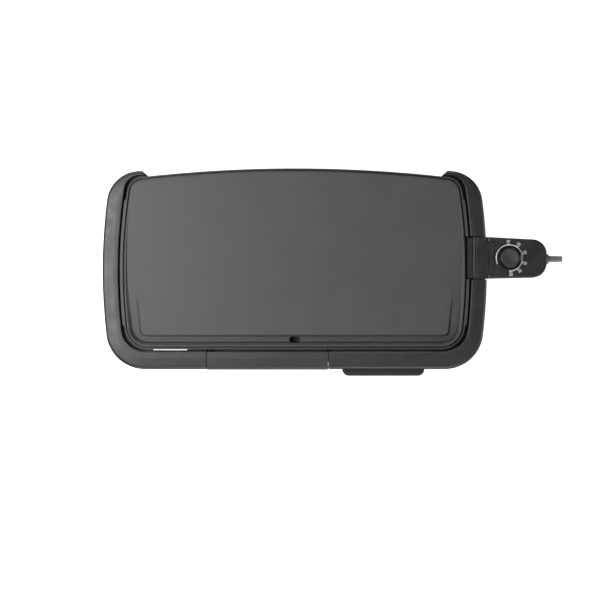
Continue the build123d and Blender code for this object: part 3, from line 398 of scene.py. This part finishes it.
# painted shade: the plate's creases, and wherever other parts stand close to it, are coloured near black
crease_shaded_coat = between(tree, crease_shade_mask(tree, 0.009), grey(0.004), step_shaded)
bare_share = ramp(tree, split.outputs["Z"], 0.05795, 0.05815, 1, 0)
cast_clouds = ramp(tree, noise(tree, place, 300, 5.0), 0.35, 0.65, 0, 1)
cast_skin = between(tree, cast_clouds, grey(0.38, 0.01), grey(0.50, 0.01))
tree.links.new(between(tree, bare_share, crease_shaded_coat, cast_skin), shader.inputs["Base Color"])
coat_gloss = ramp(tree, spray, 0.3, 0.7, 0.46, 0.56)
smooth = maths(tree, "SUBTRACT", coat_gloss, ramp(tree, scour, 0, 1, 0, 0.08))
tree.links.new(smooth, shader.inputs["Roughness"])
tree.links.new(bare_share, shader.inputs["Metallic"])
shader.inputs["Specular IOR Level"].default_value = 0.3
relief = maths(tree, "SUBTRACT", pebble, ramp(tree, scour, 0, 1, 0, 0.15))
bump = add_node(tree, "ShaderNodeBump", {"Height": relief, "Normal": round_normal,
                                         "Strength": 0.5, "Distance": 0.00005})
tree.links.new(bump.outputs["Normal"], shader.inputs["Normal"])
finish("griddle_plate", nonstick)

# ------------------------------------------------------------------ heating element and socket
# A dull steel-sheathed element is clenched into the plate's rib and ends in two steel pins, which
# pass through steatite bushes into a black phenolic guard. The guard shields the plug's socket.
finish("heating_element", rolled_metal("element_sheath", (0.25, 0.235, 0.22), 0.48, tarnish=0.7))
finish("terminal_pins", rolled_metal("steel", (0.60, 0.60, 0.60), 0.22, tarnish=0.15))
ceramic, tree, shader, place = new_material("ceramic")
chalk = noise(tree, place, 700, 5.0)
chalk_share = ramp(tree, chalk, 0.35, 0.65, 0, 1)
tree.links.new(between(tree, chalk_share, (0.86, 0.83, 0.77, 1), (0.76, 0.72, 0.64, 1)),
               shader.inputs["Base Color"])
tree.links.new(ramp(tree, chalk, 0.3, 0.7, 0.45, 0.65), shader.inputs["Roughness"])
chalk_bump = add_node(tree, "ShaderNodeBump", {"Height": chalk, "Strength": 0.4, "Distance": 0.00004})
tree.links.new(chalk_bump.outputs["Normal"], shader.inputs["Normal"])
finish("ceramic_insulators", ceramic)
# its edges get a strong painted highlight
probe_plastic = moulded("probe_plastic", 0.012, 0.0004, 0.00003, 0.40, edge=0.0005, rub_and_highlight=0.8)
finish("terminal_guard", probe_plastic)

# ------------------------------------------------------------------ release lever
# A phenolic bracket that rocks on a steel pin across the socket: a press on its two finger ridges
# lifts the tongue that holds the heat probe in. A small wire coil on the pin brings it back.
# its edges and finger ridges get a strong painted highlight
finish("release_lever", moulded("lever_plastic", 0.013, 0.0004, 0.00003, 0.38, edge=0.0005, rub_and_highlight=0.8))
finish("lever_pin", rolled_metal("pin_steel", (0.58, 0.58, 0.58), 0.22, tarnish=0.1))
finish("lever_spring", rolled_metal("spring_steel", (0.42, 0.42, 0.43), 0.26, tarnish=0.2))

# ------------------------------------------------------------------ heat probe
# The plug is a two-part phenolic housing round a thermostat. Its terminal block carries split brass
# sleeves, and a polished steel sensing rod runs into the plate.
finish("probe_housing_top", probe_plastic)
finish("probe_housing_bottom", probe_plastic)
finish("terminal_block", moulded("block_phenolic", 0.024, 0.0006, 0.00005, 0.55))
finish("female_terminals", rolled_metal("brass", (0.70, 0.53, 0.26), 0.28, tarnish=0.4))
finish("sensing_rod", rolled_metal("rod_steel", (0.62, 0.62, 0.62), 0.20, streak=(0.05, 1, 1), tarnish=0.15))
finish("thermostat_frame", rolled_metal("frame_zinc", (0.53, 0.53, 0.52), 0.36, tarnish=0.4))
finish("bimetal_blade", rolled_metal("bimetal", (0.50, 0.47, 0.42), 0.32, streak=(0.05, 1, 1)))
finish("contact_blade", rolled_metal("contact_brass", (0.66, 0.50, 0.26), 0.30, streak=(0.05, 1, 1)))
sleeving, tree, shader, place = new_material("lead_sleeve")
weave = add_node(tree, "ShaderNodeTexWave", {"Vector": place, "Scale": 900.0, "Distortion": 2.0},
                 bands_direction="DIAGONAL")
tree.links.new(between(tree, weave.outputs["Fac"], (0.78, 0.76, 0.70, 1), (0.52, 0.50, 0.45, 1)),
               shader.inputs["Base Color"])
tree.links.new(ramp(tree, weave.outputs["Fac"], 0, 1, 0.7, 0.9), shader.inputs["Roughness"])
weave_bump = add_node(tree, "ShaderNodeBump", {"Height": weave.outputs["Fac"], "Strength": 0.6,
                                               "Distance": 0.0001})
tree.links.new(weave_bump.outputs["Normal"], shader.inputs["Normal"])
finish("internal_leads", sleeving)

# ------------------------------------------------------------------ dial print
# The dial is pad-printed on the housing in pale grey ink: a ring from off to the highest heat, a
# dot at each mark, and two rows of numbers beyond every dot but the first. The ink stands proud.
ink, tree, shader, place = new_material("dial_ink")
ink_grain = noise(tree, place, 2400, 4.0)
tree.links.new(between(tree, ramp(tree, ink_grain, 0.55, 0.72, 0, 0.5), grey(0.62), grey(0.42)),
               shader.inputs["Base Color"])
tree.links.new(ramp(tree, ink_grain, 0.3, 0.7, 0.40, 0.55), shader.inputs["Roughness"])
ink_bump = add_node(tree, "ShaderNodeBump", {"Height": ink_grain, "Strength": 0.4, "Distance": 0.00002})
tree.links.new(ink_bump.outputs["Normal"], shader.inputs["Normal"])

shaft_low, shaft_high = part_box("knob_shaft")
dial_x = (shaft_low[0] + shaft_high[0]) / 2
dial_y = (shaft_low[1] + shaft_high[1]) / 2
dial_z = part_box("probe_housing_top")[1][2]
ring_radius = 0.0197
ink_height = 0.00006
mark_degrees = [178, 94, 56, 18, -20, -54, -88]

ring_group, given, made = new_group("dial_ring", {"Radius": ring_radius, "Width": 0.0013, "Ink": ink_height,
                                                  "Start": 0.0, "Sweep": 1.0, "Dot": 0.0011})
arc = add_node(ring_group, "GeometryNodeCurveArc", {
    "Resolution": 160, "Radius": given.outputs["Radius"], "Start Angle": given.outputs["Start"],
    "Sweep Angle": given.outputs["Sweep"]}, mode="RADIUS")
ribbon = add_node(ring_group, "GeometryNodeCurvePrimitiveQuadrilateral", {
    "Width": given.outputs["Width"], "Height": given.outputs["Ink"]}, mode="RECTANGLE")
band = add_node(ring_group, "GeometryNodeCurveToMesh", {
    "Curve": arc.outputs["Curve"], "Profile Curve": ribbon.outputs["Curve"], "Fill Caps": True})
dot_depth = maths(ring_group, "MULTIPLY", given.outputs["Ink"], 1.3)
dot = add_node(ring_group, "GeometryNodeMeshCylinder", {
    "Vertices": 20, "Radius": given.outputs["Dot"], "Depth": dot_depth})
seats = add_node(ring_group, "GeometryNodeMeshToPoints", {"Mesh": given.outputs["Geometry"]})
dots = add_node(ring_group, "GeometryNodeInstanceOnPoints", {
    "Points": seats.outputs["Points"], "Instance": dot.outputs["Mesh"]})
both = add_node(ring_group, "GeometryNodeJoinGeometry")
ring_group.links.new(band.outputs["Mesh"], both.inputs["Geometry"])
ring_group.links.new(dots.outputs["Instances"], both.inputs["Geometry"])
real = add_node(ring_group, "GeometryNodeRealizeInstances", {"Geometry": both.outputs["Geometry"]})
painted = add_node(ring_group, "GeometryNodeSetMaterial", {
    "Geometry": real.outputs["Geometry"], "Material": given.outputs["Material"]})
ring_group.links.new(painted.outputs["Geometry"], made.inputs["Geometry"])


def on_dial(piece, name):
    """Puts a flat print, made round the origin, on the housing's top round the knob."""
    piece.data.transform(mathutils.Matrix.Translation((dial_x, dial_y, dial_z + ink_height / 2)))
    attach(piece, "probe")
    return piece


dot_places = [(ring_radius * math.cos(math.radians(a)), ring_radius * math.sin(math.radians(a)), 0)
              for a in mark_degrees]
ring_settings = {"Radius": ring_radius, "Width": 0.0013, "Ink": ink_height, "Dot": 0.0011, "Material": ink,
                 "Start": math.radians(-88), "Sweep": math.radians(206 + 88)}
dots_up = [(0, 0, 1)] * len(dot_places)
ring = plain_mesh("dial_ring", tree_object("dial_ring", ring_group, dot_places, dots_up, ring_settings))
on_dial(ring, "dial_ring")


def number(text, degrees, radius, size):
    """One printed number as a mesh, its top outwards, centred at that angle and radius."""
    curve = bpy.data.curves.new("number_" + text, "FONT")
    curve.body = text
    curve.size = size
    curve.align_x = "CENTER"
    curve.align_y = "CENTER"
    curve.extrude = ink_height / 2
    curve.offset = size * 0.012
    holder = bpy.data.objects.new("number_holder", curve)
    bpy.context.scene.collection.objects.link(holder)
    bpy.context.view_layer.update()
    mesh = bpy.data.meshes.new_from_object(holder.evaluated_get(bpy.context.evaluated_depsgraph_get()))
    bpy.data.objects.remove(holder)
    turn = mathutils.Matrix.Rotation(math.radians(degrees - 90), 4, "Z")
    mesh.transform(turn @ mathutils.Matrix.Translation((0, radius, 0)))
    return mesh


numbers = bmesh.new()
for outer, inner, degrees in (("200", "95", 94), ("250", "120", 56), ("300", "150", 20),
                              ("325", "165", -18), ("350", "175", -50), ("400", "205", -84)):
    numbers.from_mesh(number(outer, degrees, 0.0256, 0.0038))
    numbers.from_mesh(number(inner, degrees, 0.0224, 0.0036))
number_mesh = bpy.data.meshes.new("dial_numbers")
numbers.to_mesh(number_mesh)
numbers.free()
number_mesh.materials.append(ink)
for face in number_mesh.polygons:
    face.material_index = 0
number_piece = bpy.data.objects.new("dial_numbers", number_mesh)
bpy.context.scene.collection.objects.link(number_piece)
on_dial(number_piece, "dial_numbers")

# ------------------------------------------------------------------ control knob
# A phenolic knob pressed on the thermostat's steel shaft. Its top is dished and satin, its skirt
# is matt, near black as painted shade round its foot, and its pointer's outer end is painted grey.
knob_plastic, tree, shader, place = new_material("knob_plastic")
round_normal, on_edge = rounded_edges(tree, 0.0006)
centred = add_node(tree, "ShaderNodeMapping", {"Vector": place, "Location": (-dial_x, -dial_y, 0)})
flat_place = add_node(tree, "ShaderNodeVectorMath", operation="MULTIPLY")
tree.links.new(centred.outputs["Vector"], flat_place.inputs[0])
flat_place.inputs[1].default_value = (1, 1, 0)
far = add_node(tree, "ShaderNodeVectorMath", operation="LENGTH")
tree.links.new(flat_place.outputs["Vector"], far.inputs[0])
on_skirt = ramp(tree, far.outputs["Value"], 0.0131, 0.0137, 0, 1)
knob_grain = noise(tree, place, 1800, 4.0)
top_tone = between(tree, ramp(tree, knob_grain, 0.4, 0.6, 0, 1), grey(0.026), grey(0.031))
# painted highlight: the knob's edges are coloured lighter
edge_tone = between(tree, ramp(tree, on_edge, 0, 1, 0, 0.4), top_tone, grey(0.09))
# the skirt and the knob's side are coloured near black, partly as painted shade round the knob's foot
skirted = between(tree, on_skirt, edge_tone, grey(0.006))
aside = add_node(tree, "ShaderNodeSeparateXYZ", {"Vector": centred.outputs["Vector"]})
across = ramp(tree, maths(tree, "ABSOLUTE", aside.outputs["Y"], 0), 0.0046, 0.0050, 1, 0)
outward = ramp(tree, aside.outputs["X"], 0.0164, 0.0168, 0, 1)
painted = maths(tree, "MULTIPLY", across, outward)
tree.links.new(between(tree, painted, skirted, grey(0.23)), shader.inputs["Base Color"])
tree.links.new(ramp(tree, on_skirt, 0, 1, 0.42, 0.50), shader.inputs["Roughness"])
tree.links.new(ramp(tree, on_skirt, 0, 1, 0.5, 0.15), shader.inputs["Specular IOR Level"])
bump = add_node(tree, "ShaderNodeBump", {"Height": knob_grain, "Normal": round_normal, "Strength": 0.4,
                                         "Distance": 0.00003})
tree.links.new(bump.outputs["Normal"], shader.inputs["Normal"])
finish("control_knob", knob_plastic)
finish("knob_shaft", rolled_metal("shaft_steel", (0.58, 0.58, 0.58), 0.22, tarnish=0.1))

# ------------------------------------------------------------------ strain relief
# The flexible boot that the mains cord leaves by, slotted from alternate sides so that it can
# bend. Its grey skin is finely grained and dull.
boot, tree, shader, place = new_material("flex_rubber")
boot_grain = noise(tree, place, 650, 4.0)
tree.links.new(between(tree, ramp(tree, boot_grain, 0.4, 0.6, 0, 1), grey(0.10), grey(0.13)),
               shader.inputs["Base Color"])
tree.links.new(ramp(tree, boot_grain, 0.3, 0.7, 0.50, 0.62), shader.inputs["Roughness"])
boot_bump = add_node(tree, "ShaderNodeBump", {"Height": boot_grain, "Strength": 0.4, "Distance": 0.00004,
                                              "Normal": rounded_edges(tree, 0.0005)[0]})
tree.links.new(boot_bump.outputs["Normal"], shader.inputs["Normal"])
finish("strain_relief", boot)

# ------------------------------------------------------------------ studio
# A camera straight above the table, with one softbox near on the left, one high on the left, one
# high at the front right, and long strips low at the front, the right and the back. The table and
# the sky are white to the camera only: all other rays meet a dark grey table and a dim sky.
table = bpy.data.meshes.new("table_top")
reach = 14.0
corners = [(-reach, -reach, 0), (reach, -reach, 0), (reach, reach, 0), (-reach, reach, 0)]
table.from_pydata(corners, [], [(0, 1, 2, 3)])
floor = bpy.data.objects.new("table_top", table)
bpy.context.scene.collection.objects.link(floor)
paper = bpy.data.materials.new("studio_white")
paper.use_nodes = True
tree = paper.node_tree
tree.nodes.remove(tree.nodes["Principled BSDF"])
seen = add_node(tree, "ShaderNodeEmission", {"Color": (1, 1, 1, 1), "Strength": 0.92})
lit = add_node(tree, "ShaderNodeBsdfDiffuse", {"Color": (0.6, 0.6, 0.6, 1)})
bright = add_node(tree, "ShaderNodeAddShader")
tree.links.new(seen.outputs["Emission"], bright.inputs[0])
tree.links.new(lit.outputs["BSDF"], bright.inputs[1])
dim = add_node(tree, "ShaderNodeBsdfDiffuse", {"Color": (0.12, 0.12, 0.12, 1)})
camera_only = add_node(tree, "ShaderNodeLightPath")
choice = add_node(tree, "ShaderNodeMixShader", {0: camera_only.outputs["Is Camera Ray"]})
tree.links.new(dim.outputs["BSDF"], choice.inputs[1])
tree.links.new(bright.outputs["Shader"], choice.inputs[2])
tree.links.new(choice.outputs["Shader"], tree.nodes["Material Output"].inputs["Surface"])
table.materials.append(paper)

world = bpy.data.worlds.new("studio")
bpy.context.scene.world = world
world.use_nodes = True
sky = world.node_tree.nodes["Background"]
sky.inputs["Color"].default_value = (1, 1, 1, 1)
seen_sky = add_node(world.node_tree, "ShaderNodeLightPath").outputs["Is Camera Ray"]
world.node_tree.links.new(ramp(world.node_tree, seen_sky, 0, 1, 0.06, 1), sky.inputs["Strength"])


def softbox(name, place, target, size, power):
    data = bpy.data.lights.new(name, "AREA")
    data.shape = "RECTANGLE"
    data.size, data.size_y = size
    data.energy = power
    light = bpy.data.objects.new(name, data)
    bpy.context.scene.collection.objects.link(light)
    way = mathutils.Vector(target) - mathutils.Vector(place)
    light.rotation_euler = way.to_track_quat("-Z", "Y").to_euler()
    light.location = place


softbox("softbox_left", (-0.85, 0.05, 1.0), (-0.1, 0, 0.05), (0.7, 1.1), 24)
softbox("softbox_top", (-1.15, 0.1, 3.3), (-0.2, 0, 0.05), (0.5, 2.0), 14)
softbox("softbox_corner", (1.0, -1.6, 2.6), (0.25, -0.1, 0.05), (0.8, 0.8), 12)
softbox("strip_front", (0.3, -2.6, 0.8), (0, 0, 0.05), (2.6, 0.4), 55)
softbox("strip_right", (2.9, -0.3, 0.6), (0, 0, 0.05), (2.2, 0.4), 40)
softbox("strip_back", (-0.3, 2.9, 0.7), (0, 0, 0.05), (2.6, 0.4), 45)

camera_data = bpy.data.cameras.new("camera")
camera_data.lens = 120
camera_data.sensor_width = 36
camera = bpy.data.objects.new("camera", camera_data)
bpy.context.scene.collection.objects.link(camera)
camera.location = (0.00795, -0.045, 3.068)
bpy.context.scene.camera = camera
bpy.context.scene.view_settings.view_transform = "Standard"
